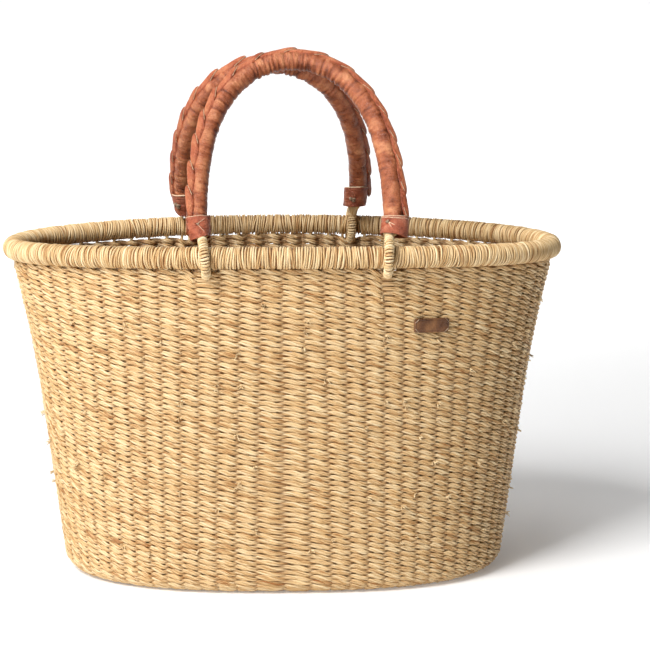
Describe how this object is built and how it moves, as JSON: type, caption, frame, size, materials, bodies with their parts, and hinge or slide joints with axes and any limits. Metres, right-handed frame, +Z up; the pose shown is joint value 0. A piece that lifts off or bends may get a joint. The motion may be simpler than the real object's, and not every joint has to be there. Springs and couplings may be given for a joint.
{
  "type": "woven market basket",
  "caption": "Oval woven grass basket with an open top, a whipped rim and two leather-covered arch handles that swing on the rim.",
  "frame": {"origin": "middle of the flat underside, on the surface the basket stands on", "axes": "+X along the basket's length, -Y towards its front, +Z up"},
  "size_m": [0.4498, 0.2487, 0.4164],
  "materials": {
    "grass weave": "twined grass, dry and slightly glossy",
    "grass whipping": "split grass, tightly wrapped",
    "grass bundle": "bundled grass, hidden",
    "grass rope": "wrapped grass rope",
    "leather": "tanned goat leather, wrinkled, half matt",
    "lacing leather": "flat leather thong with pale cut edges",
    "cuff leather": "reddish leather, half matt, pale cut edge",
    "thong": "dark twisted thong",
    "label leather": "dark brown leather, matt",
    "thread": "waxed thread"
  },
  "bodies": {
    "basket": {"woven_base": "grass weave", "woven_wall": "grass weave", "rim_core": "grass bundle", "rim_whipping": "grass whipping", "label_patch": "label leather", "label_stitch_1": "thread", "label_stitch_2": "thread", "label_stitch_3": "thread", "label_stitch_4": "thread"},
    "front_handle": {"front_handle_core": "grass rope", "front_handle_cover": "leather", "front_handle_lacing": "lacing leather", "front_cuff_left": "cuff leather", "front_cuff_knot_left": "thong", "front_loop_left": "grass rope", "front_cuff_right": "cuff leather", "front_cuff_knot_right": "thong", "front_loop_right": "grass rope"},
    "rear_handle": {"rear_handle_core": "grass rope", "rear_handle_cover": "leather", "rear_handle_lacing": "lacing leather", "rear_cuff_left": "cuff leather", "rear_cuff_knot_left": "thong", "rear_loop_left": "grass rope", "rear_cuff_right": "cuff leather", "rear_cuff_knot_right": "thong", "rear_loop_right": "grass rope"}
  },
  "joints": [
    {"name": "front_handle_swing", "type": "hinge", "parent": "basket", "child": "front_handle", "pos_m": [0.0104, -0.10592, 0.26145], "axis": [0.9997, 0.0238, 0], "range_deg": [0, 135]},
    {"name": "rear_handle_swing", "type": "hinge", "parent": "basket", "child": "rear_handle", "pos_m": [-0.0112, 0.10589, 0.26145], "axis": [-0.9997, -0.0256, 0], "range_deg": [0, 135]}
  ]
}
